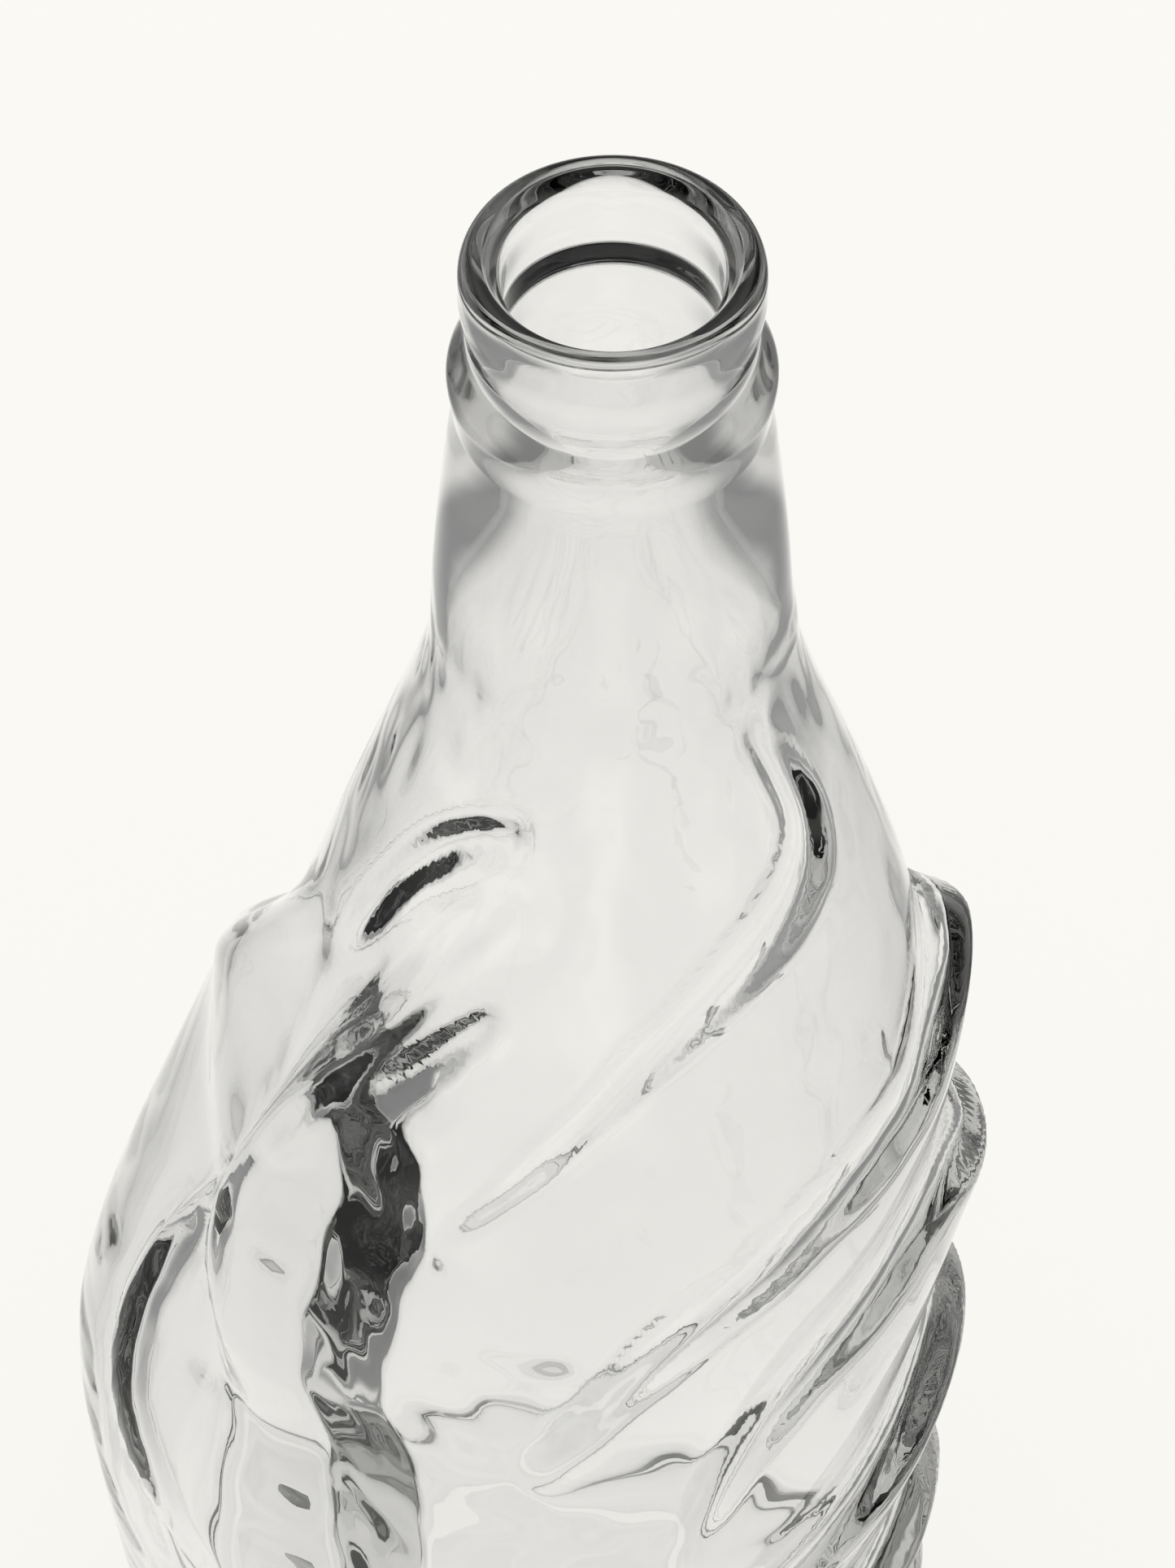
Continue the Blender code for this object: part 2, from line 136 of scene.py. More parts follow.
NECK_FOOT = FINISH_LENGTH + NECK_LENGTH
HEEL_TOP = HEIGHT - HEEL_HEIGHT
INNER_HEEL_TOP = HEIGHT - BASE_THICKNESS - INNER_HEEL_HEIGHT
INNER_FLOOR = HEIGHT - BASE_THICKNESS
print(f"neck ends {1000 * NECK_FOOT:.1f} mm down, the heel starts {1000 * HEEL_TOP:.1f} mm down")

# %% [markdown]
# The body isn't round. It leans 4.6 mm to the left, is softly three-cornered in plan, and carries
# one big smooth bulge on its left, called the wing here. The wing starts behind the shoulder and
# swings round to the left side as it comes down.

# %% Sizes of the lean, the three corners and the wing
LEAN = 0.0046
LEAN_TURN = -90.0
TREFOIL = 0.0024
TREFOIL_TURN = -88.0
TREFOIL_FALL = 0.050
SWELL_START = 0.078
SWELL_RISE = 0.082
WING_REACH = 0.0110
WING_START = 0.104
WING_RISE = 0.048
WING_RISE_EASE = 1.4
WING_HEEL = 0.024
WING_TURN = -99.0
WING_SWEEP = -30.0
WING_SWEEP_LENGTH = 0.060
WING_SWEEP_EASE = 1.7
WING_FRONT_WIDTH = 40.0
WING_FRONT_PINCH = 14.0
WING_PINCH_SHARE = 0.5
WING_BACK_WIDTH = 60.0
print(f"the wing stands {1000 * WING_REACH:.0f} mm out, from {1000 * WING_START:.0f} mm down")

# %% [markdown]
# ## The ledges
# Molten glass was let flow round the mould in soft ledges, and the glass below each one stands out.
# A ledge is a path of points: turn, per cent of the way down from the neck to the base, and how
# much of the full step it has there. The number before the points is the rounding of its edge.

# %% The ledges' paths
LEDGE_STEP = 0.005
LEDGES = {
    "front": (0.0010, [
        (51, 2.8, 0.00), (55, 4.4, 0.20), (58.5, 6.9, 0.36), (59.5, 9.4, 0.42), (56, 11.3, 0.44),
        (51, 12.4, 0.46), (43, 13.7, 0.48), (34, 14.9, 0.48), (23.5, 16.4, 0.48),
        (14.5, 18, 0.48), (6.5, 19.8, 0.48), (-1, 22, 0.48), (-9.5, 25, 0.45),
        (-17.5, 28.2, 0.38), (-25, 31.4, 0.25), (-31, 34.2, 0.00),
    ]),
    "left": (0.0022, [
        (-25, 9.5, 0.00), (-29, 11.4, 0.30), (-37, 14.2, 0.60), (-44.5, 17.8, 0.85),
        (-53, 22.3, 1.00), (-60.5, 26.8, 1.05), (-66.5, 32, 1.00), (-71, 37, 0.90),
        (-73, 41.9, 0.80), (-73, 46.1, 0.65), (-70, 50.3, 0.45), (-66, 56, 0.00),
    ]),
    "far_left": (0.0018, [
        (-73, 40, 0.00), (-78, 43.5, 0.40), (-83, 47.3, 0.60), (-85.5, 51.8, 0.70),
        (-85.5, 56.3, 0.70), (-84, 60, 0.68), (-81, 64, 0.62), (-77, 68, 0.55), (-73, 72, 0.40),
        (-70, 78, 0.00),
    ]),
    "right_first": (0.0017, [
        (126, 33.5, 0.00), (118, 31.6, 0.45), (112, 29.9, 0.80), (106, 28.5, 0.95),
        (100, 27.7, 0.98), (91, 27.7, 0.90), (83, 28.6, 0.78), (76, 29.7, 0.66), (70, 30.5, 0.58),
        (64, 31, 0.54), (56, 31.2, 0.54), (46, 31.8, 0.54), (37, 32.7, 0.54), (26, 34.6, 0.54),
        (14, 37.3, 0.52), (1.5, 41.8, 0.46), (-8, 47, 0.30), (-14, 51.5, 0.00),
    ]),
    "right_second": (0.0018, [
        (130, 48.6, 0.00), (118, 46.8, 0.50), (108, 45.4, 0.90), (100, 44.2, 1.00),
        (90, 42.6, 1.00), (78, 40.8, 0.92), (66, 39.8, 0.72), (57, 40.1, 0.62), (51, 40.6, 0.60),
        (42, 41.5, 0.60), (33.5, 42.8, 0.58), (26.5, 44.9, 0.54), (20, 48.2, 0.46),
        (15, 52.4, 0.34), (9, 59, 0.00),
    ]),
    "right_third": (0.0017, [
        (130, 62, 0.00), (118, 60.5, 0.50), (108, 59, 0.80), (100, 57.5, 0.90), (90, 55.6, 0.95),
        (78, 54, 0.95), (66, 53.4, 0.94), (57, 54.1, 0.92), (48, 55.6, 0.88), (38, 57.6, 0.78),
        (28, 60.2, 0.66), (18, 63.7, 0.50), (8, 68, 0.30), (-2, 72, 0.00),
    ]),
    "right_fourth": (0.0017, [
        (112, 75, 0.00), (98, 71.5, 0.50), (84, 68.6, 0.80), (70, 66.8, 0.85), (58, 66.4, 0.85),
        (46, 67.6, 0.80), (35, 69.7, 0.68), (21, 73.5, 0.40), (5, 79, 0.00),
    ]),
    "right_fifth": (0.0017, [
        (104, 83, 0.00), (88, 79, 0.40), (72, 76.8, 0.60), (58, 76.6, 0.60), (45, 78, 0.50),
        (28, 82, 0.30), (12, 87, 0.00),
    ]),
    "wing_top": (0.0040, [
        (-76, 19.5, 0.00), (-85, 23, 0.35), (-95, 27, 0.80), (-105, 31, 1.05), (-115, 35, 1.10),
        (-126, 39, 0.95), (-138, 43, 0.70), (-152, 47, 0.35), (-165, 51, 0.00),
    ]),
}
print(len(LEDGES), "ledges")

# %% [markdown]
# ## The turned outline
# Before the swirl, the bottle is a plain turned shape. Two small functions give its radius at any
# depth: one for the crown finish that a cap is crimped on, one for the neck, shoulder and body.

# %% The turned outline
def smooth(t):
    """0 below 0, 1 above 1, and a soft S in between."""
    t = np.clip(t, 0.0, 1.0)
    return t * t * (3.0 - 2.0 * t)


def finish_radius(depth):
    """The outside from the rounded lip, in to the groove, out over the bead and to the collar."""
    into_rounding = np.clip(1.0 - depth / LIP_ROUNDING, 0.0, 1.0)
    rounding = (LIP_RADIUS - LAND_OUTER_RADIUS) * (1.0 - np.sqrt(1.0 - into_rounding**2))
    lip_foot = LIP_ROUNDING + LIP_BAND
    to_groove = smooth((depth - lip_foot) / (GROOVE_DEPTH - lip_foot))
    to_bead = smooth((depth - GROOVE_DEPTH) / (BEAD_DEPTH - GROOVE_DEPTH))
    to_collar = smooth((depth - BEAD_DEPTH) / (FINISH_LENGTH - BEAD_DEPTH))
    radius = LIP_RADIUS - rounding + (GROOVE_RADIUS - LIP_RADIUS) * to_groove
    radius = radius + (BEAD_RADIUS - GROOVE_RADIUS) * to_bead
    return radius + (COLLAR_RADIUS - BEAD_RADIUS) * to_collar


def body_radius(depth):
    """The outside of the neck, shoulder and body, before the swirl."""
    down_neck = np.clip((depth - FINISH_LENGTH) / NECK_LENGTH, 0.0, 1.0)
    neck = NECK_RADIUS - (NECK_RADIUS - COLLAR_RADIUS) * (1.0 - down_neck) ** NECK_SWELL
    down_shoulder = np.clip((depth - NECK_FOOT) / SHOULDER_LENGTH, 0.0, 1.0)
    eased = down_shoulder**2 * (1.0 + SHOULDER_TOE) / (down_shoulder + SHOULDER_TOE)
    shoulder = (BODY_RADIUS - NECK_RADIUS) * (1.0 - (1.0 - eased) ** SHOULDER_FULLNESS)
    taper = TAPER * smooth((depth - HEEL_TOP + TAPER_LENGTH) / TAPER_LENGTH)
    return neck + shoulder - taper


def inside_radius(depth):
    """The bore, opening below the finish to one wall inside the body."""
    wall = NECK_WALL + (BODY_WALL - NECK_WALL) * smooth((depth - NECK_FOOT) / SHOULDER_LENGTH)
    opened = smooth((depth - FINISH_LENGTH) / NECK_LENGTH)
    return BORE_RADIUS + (body_radius(depth) - wall - BORE_RADIUS) * opened


print(f"body radius {1000 * body_radius(np.array(0.15)):.1f} mm at 150 mm down")

# %% [markdown]
# ## The profile
# A turned shape needs only half of its cross-section, drawn once. This one runs from the middle of
# the inside floor up the inner wall, over the lip, down the outside and under the base to the
# middle again, so that one turn of it makes both skins at once and leaves no gap between them. The
# points lie closest together where the outside has its ledges.

# %% Draw the profile
INNER_NECK_STEPS = 10
INNER_STEPS = 130
NECK_STEPS = 12
OUTER_STEPS = 230
FINISH_STEPS = 12
LIP_TO_COLLAR_STEPS = 36
ROUND_STEPS = 8
DOME_STEPS = 6


def arc(start, end, steps):
    """Angles of a quarter round or part of it, without the first."""
    return np.linspace(np.radians(start), np.radians(end), steps + 1)[1:]


def profile_points():
    """(radius, depth) from the inside floor's middle, over the lip, to the base's middle."""
    dome = np.linspace(0.0, 1.0, DOME_STEPS + 1)
    points = [(INNER_FLOOR_RADIUS * s, INNER_FLOOR - PUSH_UP * (1.0 - s**2)) for s in dome]
    wall_foot = inside_radius(INNER_HEEL_TOP)
    for angle in arc(90.0, 0.0, ROUND_STEPS):
        out = INNER_FLOOR_RADIUS + (wall_foot - INNER_FLOOR_RADIUS) * np.cos(angle)
        points.append((out, INNER_HEEL_TOP + (INNER_FLOOR - INNER_HEEL_TOP) * np.sin(angle)))
    for depth in np.linspace(INNER_HEEL_TOP, NECK_FOOT, INNER_STEPS + 1)[1:]:
        points.append((inside_radius(depth), depth))
    for depth in np.linspace(NECK_FOOT, FINISH_LENGTH, INNER_NECK_STEPS + 1)[1:]:
        points.append((inside_radius(depth), depth))
    for depth in np.linspace(FINISH_LENGTH, FLARE_DEPTH, FINISH_STEPS + 1)[1:]:
        points.append((BORE_RADIUS, depth))
    width = LAND_INNER_RADIUS - BORE_RADIUS
    for angle in arc(0.0, 90.0, FINISH_STEPS):
        points.append((LAND_INNER_RADIUS - width * np.cos(angle) ** FLARE_BEND,
                       FLARE_DEPTH * (1.0 - np.sin(angle) ** FLARE_BEND)))
    points.append((LAND_OUTER_RADIUS, 0.0))
    for depth in LIP_ROUNDING * (1.0 - np.cos(arc(0.0, 90.0, ROUND_STEPS))):
        points.append((finish_radius(depth), depth))
    for depth in np.linspace(LIP_ROUNDING, FINISH_LENGTH, LIP_TO_COLLAR_STEPS + 1)[1:]:
        points.append((finish_radius(depth), depth))
    for depth in np.linspace(FINISH_LENGTH, NECK_FOOT, NECK_STEPS + 1)[1:]:
        points.append((body_radius(depth), depth))
    for depth in np.linspace(NECK_FOOT, HEEL_TOP, OUTER_STEPS + 1)[1:]:
        points.append((body_radius(depth), depth))
    wall_foot = body_radius(HEEL_TOP)
    for angle in arc(0.0, 90.0, ROUND_STEPS):
        out = STANDING_RADIUS + (wall_foot - STANDING_RADIUS) * np.cos(angle)
        points.append((out, HEEL_TOP + HEEL_HEIGHT * np.sin(angle)))
    inner_edge = STANDING_RADIUS - STANDING_WIDTH
    points += [(inner_edge * s, HEIGHT - PUSH_UP * (1.0 - s**2)) for s in dome[::-1]]
    return np.array(points)


profile = profile_points()
print(len(profile), "profile points")

# %% [markdown]
# The profile becomes a chain of edges. It starts as a circle primitive with one vertex for each
# point, cut open where its two ends meet, and each vertex is then put in its place.

# %% Make the profile an object
bpy.ops.object.select_all(action="DESELECT")
bpy.ops.mesh.primitive_circle_add(vertices=len(profile), fill_type="NOTHING")
bottle = bpy.context.object
bottle.name = "clear_glass_bottle"
bottle.data.name = "clear_glass_bottle"
bpy.ops.object.mode_set(mode="EDIT")
bpy.ops.mesh.select_all(action="DESELECT")
bpy.ops.object.mode_set(mode="OBJECT")
last = len(profile) - 1
for edge in bottle.data.edges:
    edge.select = set(edge.vertices) == {0, last}
bpy.ops.object.mode_set(mode="EDIT")
bpy.ops.mesh.delete(type="EDGE")
bpy.ops.object.mode_set(mode="OBJECT")
for vert, (radius, depth) in zip(bottle.data.vertices, profile):
    vert.co = (radius, 0.0, HEIGHT - depth)
print(len(bottle.data.edges), "edges in the profile")

# %% [markdown]
# A Screw modifier with no rise turns the chain round the upright axis. Its merge closes the seam
# and the two poles.

# %% Turn the profile
SIDES = 204
SEAM_MERGE = 0.00001
turning = bottle.modifiers.new("turning", "SCREW")
turning.axis = "Z"
turning.angle = 2.0 * np.pi
turning.screw_offset = 0.0
turning.steps = turning.render_steps = SIDES
turning.use_merge_vertices = True
turning.merge_threshold = SEAM_MERGE
bpy.ops.object.modifier_apply(modifier=turning.name)
print(len(bottle.data.vertices), "vertices,", len(bottle.data.polygons), "faces")

# %% [markdown]
# ## The swirl
# No operator can press a free-form ledge into a turned shape, so the vertices are moved in code.
# The relief is worked out as a taut sheet over a flat grid of turns and depths. First a smooth
# curve is laid through each ledge's points.

# %% A ledge's path
PATH_STEPS = 256


def flow(points):
    """Places along a smooth curve through the points, evenly spaced by turn and depth."""
    points = np.array(points)
    points[:, 1] = NECK_FOOT + (HEIGHT - NECK_FOOT) * points[:, 1] / 100.0
    around = np.radians(points[:, 0]) * BODY_RADIUS
    lengths = np.hypot(np.diff(around), np.diff(points[:, 1]))
    at = np.concatenate([[0.0], np.cumsum(lengths)])
    slopes = np.gradient(points, at, axis=0)
    wanted = np.linspace(0.0, at[-1], PATH_STEPS)
    span = np.clip(np.searchsorted(at, wanted, side="right") - 1, 0, len(at) - 2)
    length = (at[span + 1] - at[span])[:, None]
    u = (wanted - at[span])[:, None] / length
    start = (1.0 + 2.0 * u) * (1.0 - u) ** 2 * points[span]
    end = u**2 * (3.0 - 2.0 * u) * points[span + 1]
    bend = u * (1.0 - u) ** 2 * slopes[span] - u**2 * (1.0 - u) * slopes[span + 1]
    return start + end + bend * length


print(len(flow(LEDGES["front"][1])), "places along a ledge")

# %% [markdown]
# Along a ledge the sheet is held: at body level on its upper side, and one step out on its lower
# side. Every cell near the path takes the lift that belongs to its distance from the edge.

# %% Where the ledges hold the sheet
SHEET_HOLD = 400.0
FULL_HOLD_SHARE = 0.35
BAND_CELLS = 0.6
PATH_CELLS = 1.2


def held_cells(turns, depths):
    """Where the ledges hold the sheet: the lift each cell is held at, and how firmly."""
    cell_turn = turns[1] - turns[0]
    cell_depth = depths[1] - depths[0]
    cell = max(cell_depth, np.radians(cell_turn) * BODY_RADIUS)
    finest = min(cell_depth, np.radians(cell_turn) * NECK_RADIUS)
    radii = body_radius(depths)
    lift = np.zeros((len(depths), len(turns)))
    hold = np.zeros(lift.shape)
    for rounding, points in LEDGES.values():
        path = flow(points)
        along = np.gradient(path, axis=0)
        window = int(np.ceil((rounding + PATH_CELLS * cell) / finest)) + 1
        steps = np.arange(-window, window + 1)
        sideways, downwards = (grid.ravel() for grid in np.meshgrid(steps, steps))
        column = np.round((path[:, :1] - turns[0]) / cell_turn).astype(int) + sideways
        row = np.round((path[:, 1:2] - depths[0]) / cell_depth).astype(int) + downwards
        inside = (row >= 0) & (row < len(depths))
        row = np.clip(row, 0, len(depths) - 1)
        right = np.radians(turns[0] + column * cell_turn - path[:, :1]) * radii[row]
        down = depths[row] - path[:, 1:2]
        ahead_right = np.radians(along[:, :1]) * radii[row]
        ahead_down = np.broadcast_to(along[:, 1:2], row.shape)
        stride = np.hypot(ahead_right, ahead_down)
        from_edge = (ahead_down * right - ahead_right * down) / stride
        onward = np.abs(ahead_right * right + ahead_down * down) / stride
        near = inside & (np.abs(from_edge) <= rounding + BAND_CELLS * cell)
        near &= onward <= PATH_CELLS * cell
        nearest_last = np.argsort(-np.hypot(right, down)[near])
        spot = (row[near][nearest_last], column[near][nearest_last] % len(turns))
        share = np.broadcast_to(path[:, 2:], row.shape)[near][nearest_last]
        edge = smooth((from_edge[near][nearest_last] + rounding) / (2.0 * rounding))
        own_lift = np.zeros(lift.shape)
        own_hold = np.full(lift.shape, -1.0)
        own_lift[spot] = LEDGE_STEP * share * edge
        own_hold[spot] = SHEET_HOLD * smooth(share / (FULL_HOLD_SHARE * path[:, 2].max()))
        firmer = own_hold >= hold
        lift[firmer] = own_lift[firmer]
        hold[firmer] = own_hold[firmer]
    return lift, hold


print(f"a full ledge steps out by {1000 * LEDGE_STEP:.0f} mm")

# %% [markdown]
# Everywhere else each cell is the mean of its four neighbours, and sinks back a little. That is
# how a stretched skin behaves, and it gives the long calm slopes between the ledges. It starts on
# a coarse grid, where slopes settle quickly, and is refined twice. Each level is its cells round,
# its cells down, and how many times the means are taken.

# %% The sheet between the ledges
LEDGE_MARGIN = 0.004
SHEET_REACH = 0.025
SHEET_LEVELS = ((128, 100, 400), (256, 200, 120), (768, 600, 60))
SHEET_SOFTENING = 10
INNER_SOFTENING = 90
SHEET_TOP = NECK_FOOT - LEDGE_MARGIN
SHEET_FOOT = HEEL_TOP + LEDGE_MARGIN


def neighbours(sheet):
    """Sum of each cell's four neighbours. The sheet closes on itself round the bottle."""
    above = np.vstack([sheet[:1], sheet[:-1]])
    below = np.vstack([sheet[1:], sheet[-1:]])
    return above + below + np.roll(sheet, 1, axis=1) + np.roll(sheet, -1, axis=1)


def softened(sheet, passes):
    """Each cell half itself and half the mean of its neighbours, over and over."""
    for _ in range(passes):
        sheet = (4.0 * sheet + neighbours(sheet)) / 8.0
    return sheet


def swirl_sheet():
    """Lift of the swirl on a grid of depths and turns, worked out coarsely and then finer."""
    sheet = np.zeros((1, 1))
    for across, down, passes in SHEET_LEVELS:
        turns = np.arange(across) * 360.0 / across
        depths = np.linspace(SHEET_TOP, SHEET_FOOT, down)
        lift, hold = held_cells(turns, depths)
        cell = (depths[1] - depths[0] + np.radians(turns[1]) * BODY_RADIUS) / 2.0
        sink = (cell / SHEET_REACH) ** 2
        sheet = np.repeat(sheet, down // len(sheet), axis=0)
        sheet = np.repeat(sheet, across // sheet.shape[1], axis=1)
        for _ in range(passes):
            sheet = (neighbours(sheet) + hold * lift) / (4.0 + sink + hold)
    return softened(sheet, SHEET_SOFTENING)


outer_sheet = swirl_sheet()
inner_sheet = softened(outer_sheet, INNER_SOFTENING)
print(f"largest ledge lift {1000 * outer_sheet.max():.1f} mm")

# %% [markdown]
# A vertex lies between four cells, so its lift is a blend of theirs. The relief fades out at the
# neck and above the round heel.

# %% The lift at any place
LEDGE_HEEL = 0.014


def swirl(sheet, turn, depth):
    """The sheet's lift at any place, fading out at the neck and above the heel."""
    rows, columns = sheet.shape
    row = np.clip((depth - SHEET_TOP) / (SHEET_FOOT - SHEET_TOP), 0.0, 1.0) * (rows - 1)
    column = turn % 360.0 / 360.0 * columns
    upper = np.minimum(row.astype(int), rows - 2)
    left = column.astype(int) % columns
    right = (left + 1) % columns
    down = row - upper
    across = column - column.astype(int)
    above = sheet[upper, left] * (1.0 - across) + sheet[upper, right] * across
    below = sheet[upper + 1, left] * (1.0 - across) + sheet[upper + 1, right] * across
    lift = above * (1.0 - down) + below * down
    below_neck = smooth((depth - SHEET_TOP) / LEDGE_MARGIN)
    above_heel = smooth((HEEL_TOP - depth) / LEDGE_HEEL)
    return lift * below_neck * above_heel


at_front = swirl(outer_sheet, np.array([0.0]), np.array([HEIGHT / 2.0]))[0]
print(f"lift at the front, half way down: {1000 * at_front:.2f} mm")

# %% [markdown]
# The slow shapes lie under the swirl. The lean and the three corners grow along the shoulder, and
# the corners fade again above the heel. The wing has a short front flank and a long back one.

# %% The slow lifts
def lean_and_trefoil(turn, depth):
    """How far the lean and the three corners push the wall out."""
    rise = smooth((depth - SWELL_START) / SWELL_RISE)
    fall = smooth((HEEL_TOP - depth) / TREFOIL_FALL)
    lean = LEAN * np.cos(np.radians(turn - LEAN_TURN))
    trefoil = TREFOIL * np.cos(3.0 * np.radians(turn - TREFOIL_TURN))
    return (lean + trefoil * fall) * rise


def wing(turn, depth):
    """How far the wing pushes the wall out."""
    risen = np.clip((depth - WING_START) / WING_RISE, 0.0, 1.0)
    into_heel = np.clip((depth - HEIGHT + WING_HEEL) / WING_HEEL, 0.0, 1.0)
    reach = WING_REACH * (1.0 - (1.0 - risen) ** WING_RISE_EASE) * (1.0 - into_heel**2)
    swept = np.clip((depth - WING_START) / WING_SWEEP_LENGTH, 0.0, 1.0)
    centre = WING_TURN + WING_SWEEP * (1.0 - swept) ** WING_SWEEP_EASE
    front_width = WING_FRONT_WIDTH - WING_FRONT_PINCH * (1.0 - smooth(risen / WING_PINCH_SHARE))
    away = (turn - centre + 180.0) % 360.0 - 180.0
    across = smooth(1.0 - np.where(away > 0.0, away / front_width, -away / WING_BACK_WIDTH))
    return reach * across


widest = wing(np.array([WING_TURN]), np.array([WING_START + WING_SWEEP_LENGTH]))[0]
print(f"the wing at its widest: {1000 * widest:.1f} mm")

# %% [markdown]
# The blown inside has folds of its own, where the glass ran thick as it cooled. Each is a low ridge
# on the inner skin with one gentle flank towards the front. That flank is a slight wedge: it throws
# the light back into the wall, which leads it down and away, so a fold shows as a dark streak.
# Lesser folds run along the ledges, where the glass was slow to fill the mould. A fold is a path
# like a ledge, with the widths of its two flanks, left and right, and its height.

# %% The folds on the inside
FOLDS = {
    "long_fold": (0.0078, 0.0124, 0.0046, [
        (-34, 17.0, 0.00), (-41, 19.5, 0.05), (-49, 23.0, 0.25), (-56, 27.0, 0.70),
        (-58.5, 31.0, 0.95), (-56, 36.0, 1.00), (-57, 41.0, 1.00), (-59, 46.0, 1.00),
        (-57, 51.0, 0.95), (-52, 55.5, 0.85), (-51, 61.0, 1.05), (-52, 68.0, 1.15),
        (-52, 80.0, 1.10), (-52, 90.0, 0.60),
    ]),
    "hook_fold": (0.0014, 0.0034, 0.0014, [
        (-24, 17.5, 0.00), (-30, 19.2, 0.80), (-38, 21.6, 1.00), (-46, 24.6, 1.00),
        (-52, 28.0, 0.00),
    ]),
    "shoulder_fold": (0.0022, 0.0030, 0.0017, [
        (-22, 7.6, 0.00), (-32, 8.6, 0.60), (-44, 9.8, 0.90), (-55, 12.0, 1.00),
        (-62, 15.0, 0.80), (-68, 18.6, 0.60), (-71, 22.0, 0.00),
    ]),
    "side_fold": (0.0020, 0.0034, 0.0010, [
        (-90, 44.0, 0.00), (-89, 50.0, 0.80), (-87, 60.0, 1.00), (-83, 70.0, 1.00),
        (-81, 80.0, 0.00),
    ]),
    "front_line": (0.0018, 0.0024, 0.0024, LEDGES["front"][1]),
    "left_line": (0.0018, 0.0026, 0.0008, LEDGES["left"][1]),
    "first_line": (0.0020, 0.0026, 0.0016, LEDGES["right_first"][1]),
    "second_line": (0.0020, 0.0026, 0.0016, LEDGES["right_second"][1]),
    "third_line": (0.0020, 0.0026, 0.0014, LEDGES["right_third"][1]),
    "fourth_line": (0.0020, 0.0026, 0.0009, LEDGES["right_fourth"][1]),
}
print(len(FOLDS), "folds")

# %% [markdown]
# The folds are laid on a grid like the ledges'. Their paths wander a little, a fine waviness makes
# their right flanks uneven, and a faint swell runs over the whole inner skin. Both come from
# seeded chance, softened until they are as broad as such marks are. A wander is given as its size
# in degrees, its rate down the wall in radians a metre, and where it starts.

# %% Lay the folds on a grid
FOLD_GRID = (400, 512)
FOLD_SEED = 11
FOLD_CREST = 1.2
FOLD_SOFTENING = 3
FOLD_PATH_STRIDE = 2
FOLD_WANDERS = ((0.5, 330.0, 0.0), (0.3, 610.0, 1.0))
FOLD_WAVINESS = 0.00005
WAVE_SOFTENING = 40
WAVE_REACH = 1.5
SKIN_SWELL = 0.00005
SWELL_CELLS = 8
SWELL_SOFTENING = 60
FAR_AWAY = 1.0


def fold_sheet(shape):
    """Thickening of the inner skin on the same grid as the ledges."""
    rows, columns = shape
    turns, depths = np.meshgrid(np.arange(columns) * 360.0 / columns,
                                np.linspace(SHEET_TOP, SHEET_FOOT, rows))
    radii = body_radius(depths)
    chance = np.random.default_rng(FOLD_SEED)
    waves = softened(chance.standard_normal(shape), WAVE_SOFTENING)
    waves /= waves.std()
    swells = chance.standard_normal((rows // SWELL_CELLS, columns // SWELL_CELLS))
    swells = np.repeat(np.repeat(swells, SWELL_CELLS, axis=0), SWELL_CELLS, axis=1)
    swells = softened(swells, SWELL_SOFTENING)
    thick = SKIN_SWELL * swells / swells.std()
    for left_width, right_width, height, points in FOLDS.values():
        nearest = np.full(shape, FAR_AWAY)
        share = np.zeros(shape)
        width = np.full(shape, left_width)
        for turn, depth, amount in flow(points)[::FOLD_PATH_STRIDE]:
            wander = sum(size * np.sin(depth * rate + start) for size, rate, start in FOLD_WANDERS)
            aside = (turns - turn - wander + 180.0) % 360.0 - 180.0
            away = np.hypot(np.radians(aside) * radii, depths - depth)
            closer = away < nearest
            nearest[closer] = away[closer]
            share[closer] = amount
            width[closer] = np.where(aside[closer] > 0.0, right_width, left_width)
        across = np.clip(nearest / width, 0.0, 1.0)
        rough = FOLD_WAVINESS * waves * smooth(WAVE_REACH - nearest / width) * share
        rough = rough * (width > left_width)
        thick = thick + height * share * (1.0 - across**FOLD_CREST) + rough
    return thick


folds = softened(fold_sheet(FOLD_GRID), FOLD_SOFTENING)
print(f"thickest fold {1000 * folds.max():.1f} mm")

# %% [markdown]
# Each vertex is now sorted onto the outer or the inner skin, by whether it lies on the profile's
# inner part. The vertices also crowd together at the front, where the finest ledges are.

# %% Sort the vertices onto the two skins
CROWDING = 0.5
SKIN_GAP = 0.0002
TINY = 1e-6
places = np.empty(3 * len(bottle.data.vertices))
bottle.data.vertices.foreach_get("co", places)
places = places.reshape(-1, 3)
out = np.hypot(places[:, 0], places[:, 1])
turned = np.arctan2(places[:, 0], -places[:, 1])
turned -= CROWDING * np.sin(turned)
turn = np.degrees(turned)
depth = HEIGHT - places[:, 2]

inner_part = profile[: DOME_STEPS + 1 + ROUND_STEPS + INNER_STEPS + INNER_NECK_STEPS]
is_inner = out < np.interp(depth, inner_part[::-1, 1], inner_part[::-1, 0]) + SKIN_GAP
is_inner &= (depth > FINISH_LENGTH - TINY) & (depth < INNER_FLOOR + TINY)
print(is_inner.sum(), "of", len(places), "vertices on the inner skin")

# %% [markdown]
# The inner skin takes the slow shapes in full. At the front it takes only a softened half of the
# ledges, because the blown inside of a bottle is smoother than the moulded outside. Towards the
# back it follows them in full, or the wall there would be thick enough to look dark. Measured out
# from the axis, more than a millimetre of wall is left everywhere.

